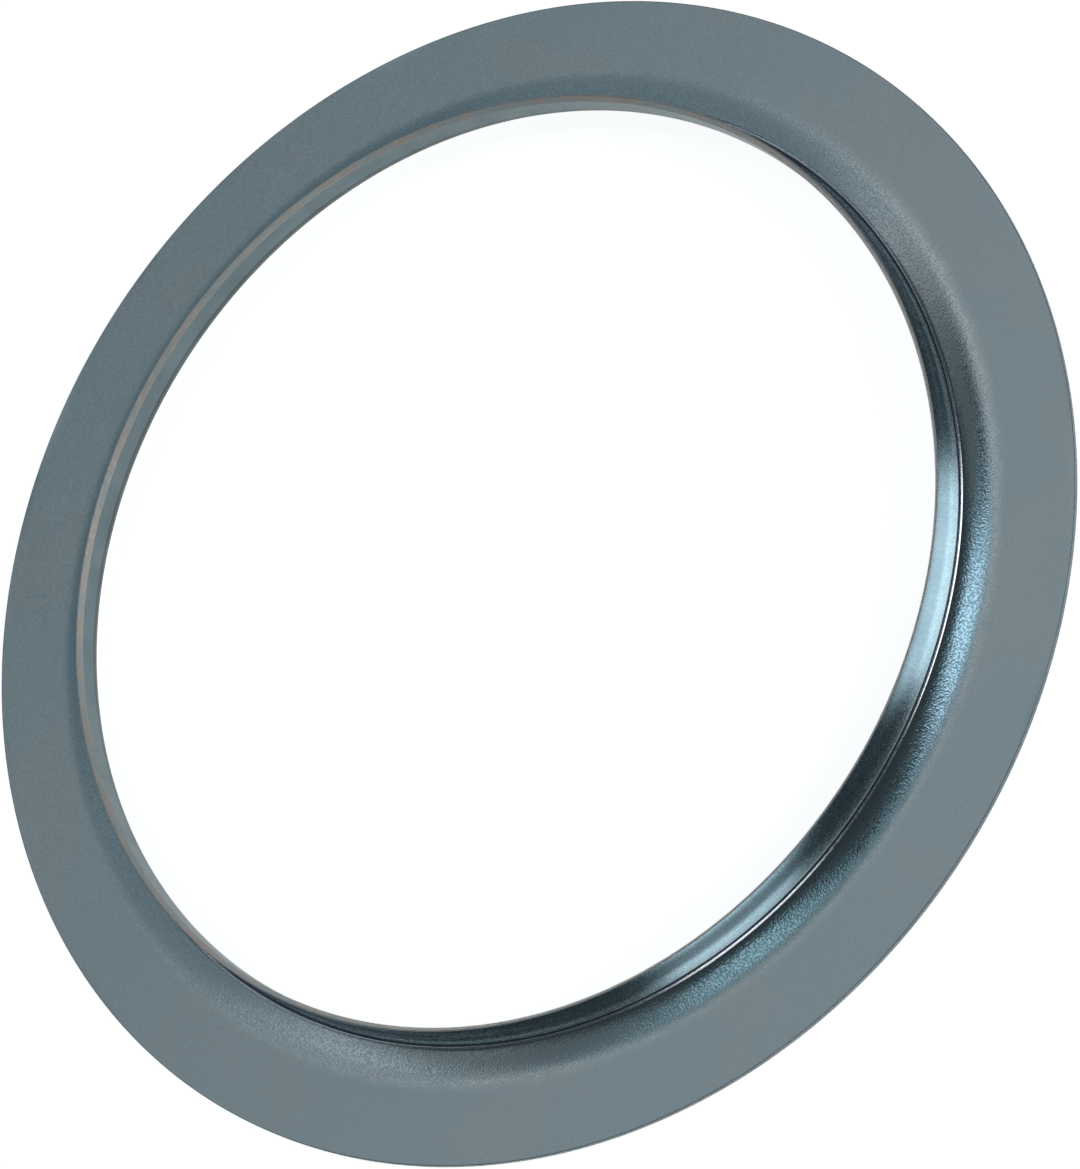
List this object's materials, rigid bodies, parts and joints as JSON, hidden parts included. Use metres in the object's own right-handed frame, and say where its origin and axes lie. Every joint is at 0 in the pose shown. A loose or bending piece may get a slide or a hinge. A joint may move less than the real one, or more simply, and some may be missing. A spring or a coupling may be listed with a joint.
{
  "type": "toilet flange ring",
  "caption": "Flat pressed-steel flange ring, zinc plated, with a short collar raised round its bore to guide and seat a closet outlet.",
  "frame": {"origin": "on the bore's axis, in the plane of the flange's flat back face", "axes": "+Z along the bore's axis, the way the collar stands up from the flange; the ring is round, so X and Y are any two square directions across it"},
  "size_m": [0.178, 0.178, 0.0078],
  "materials": {
    "zinc_plated_steel": "satin bright zinc plate with a blue-grey passivation, burnished on the collar"
  },
  "bodies": {
    "root": {"flange_ring": "zinc_plated_steel"}
  },
  "joints": []
}
